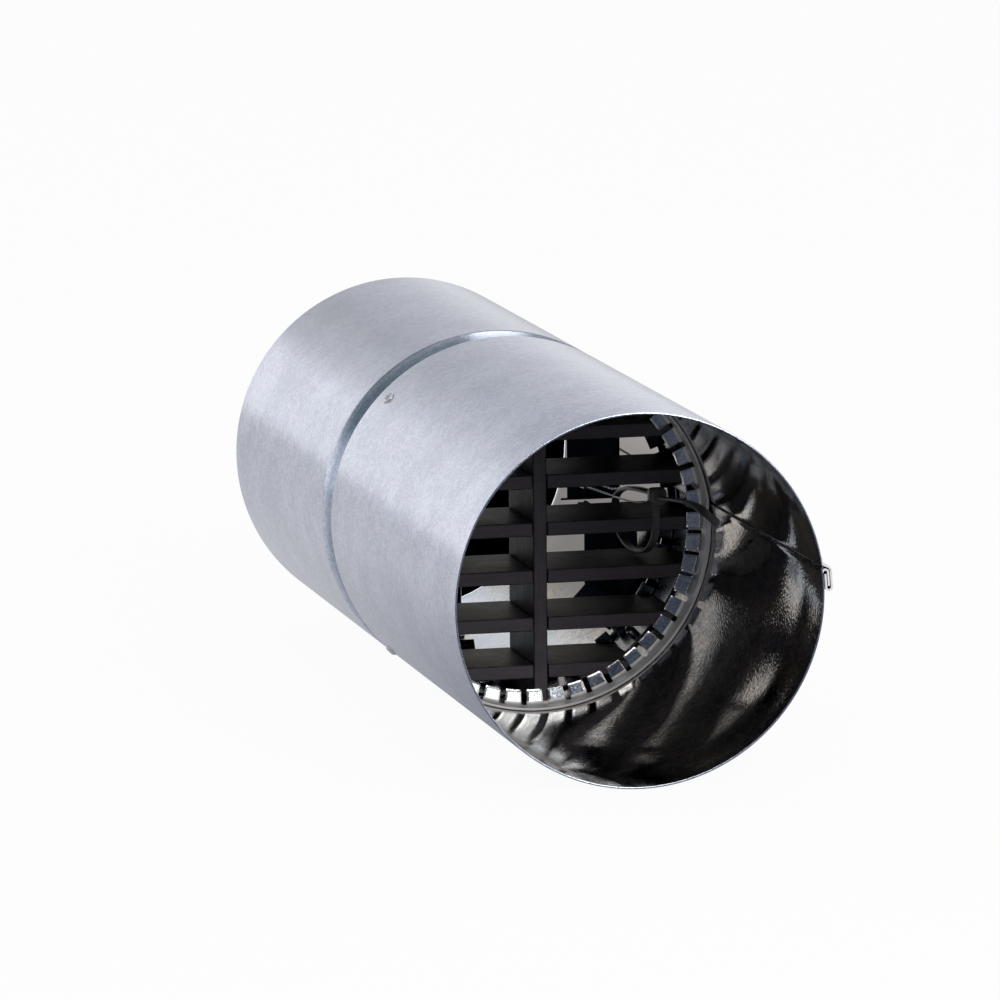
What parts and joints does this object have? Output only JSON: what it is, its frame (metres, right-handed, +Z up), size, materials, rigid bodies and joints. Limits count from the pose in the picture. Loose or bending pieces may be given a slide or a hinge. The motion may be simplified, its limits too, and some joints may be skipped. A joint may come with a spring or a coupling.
{
  "type": "intumescent fire damper",
  "caption": "Round duct sleeve with an intumescent slatted core between toothed rings and two spring-closed smoke flaps held by a cable tie.",
  "frame": {"origin": "centre of the inlet end of the sleeve", "axes": "+Y runs along the duct from the inlet to the outlet, +Z is up, and the folded seam lies on the +X side"},
  "size_m": [0.1637, 0.445, 0.16],
  "materials": {
    "galvanised_sleeve": "galvanised sheet",
    "ring_sheet": "galvanised strip",
    "rivet_metal": "bare",
    "mandrel_steel": "broken wire",
    "intumescent": "pressed graphite board",
    "nylon": "moulded",
    "wire_steel": "drawn",
    "ferrule_metal": "crimped",
    "bracket_sheet": "galvanised sheet",
    "spindle_steel": "zinc plated",
    "clip_steel": "phosphated",
    "flap_sheet": "galvanised sheet",
    "seal": "foam strip"
  },
  "bodies": {
    "housing": {"sleeve": "galvanised_sleeve", "front_clamp_ring": "ring_sheet", "rear_clamp_ring": "ring_sheet", "blind_rivets": "rivet_metal", "rivet_mandrels": "mandrel_steel", "upright_slat": "intumescent", "slat_left_1": "intumescent", "slat_left_2": "intumescent", "slat_left_3": "intumescent", "slat_left_4": "intumescent", "slat_left_5": "intumescent", "slat_left_6": "intumescent", "slat_left_7": "intumescent", "slat_right_1": "intumescent", "slat_right_2": "intumescent", "slat_right_3": "intumescent", "slat_right_4": "intumescent", "slat_right_5": "intumescent", "slat_right_6": "intumescent", "slat_right_7": "intumescent", "cable_tie": "nylon", "release_wire": "wire_steel", "wire_ferrule": "ferrule_metal", "stop_bracket_upper_left": "bracket_sheet", "stop_bracket_upper_right": "bracket_sheet", "stop_bracket_lower_left": "bracket_sheet", "stop_bracket_lower_right": "bracket_sheet", "spindle_bracket_upper": "bracket_sheet", "spindle_bracket_lower": "bracket_sheet", "flap_spindle": "spindle_steel", "spindle_clips": "clip_steel", "torsion_spring": "wire_steel"},
    "left_flap": {"smoke_flap_left": "flap_sheet", "flap_seal_left": "seal"},
    "right_flap": {"smoke_flap_right": "flap_sheet", "flap_seal_right": "seal"}
  },
  "joints": [
    {"name": "left_flap_hinge", "type": "hinge", "parent": "housing", "child": "left_flap", "pos_m": [0, 0.33915, 0], "axis": [0, 0, 1], "range_deg": [0, 89], "deforming": ["torsion_spring", "release_wire"]},
    {"name": "right_flap_hinge", "type": "hinge", "parent": "housing", "child": "right_flap", "pos_m": [0, 0.33915, 0], "axis": [0, 0, 1], "range_deg": [-89, 0]}
  ],
  "couplings": [
    {"joint": "right_flap_hinge", "follows": "left_flap_hinge", "ratio": -1}
  ]
}
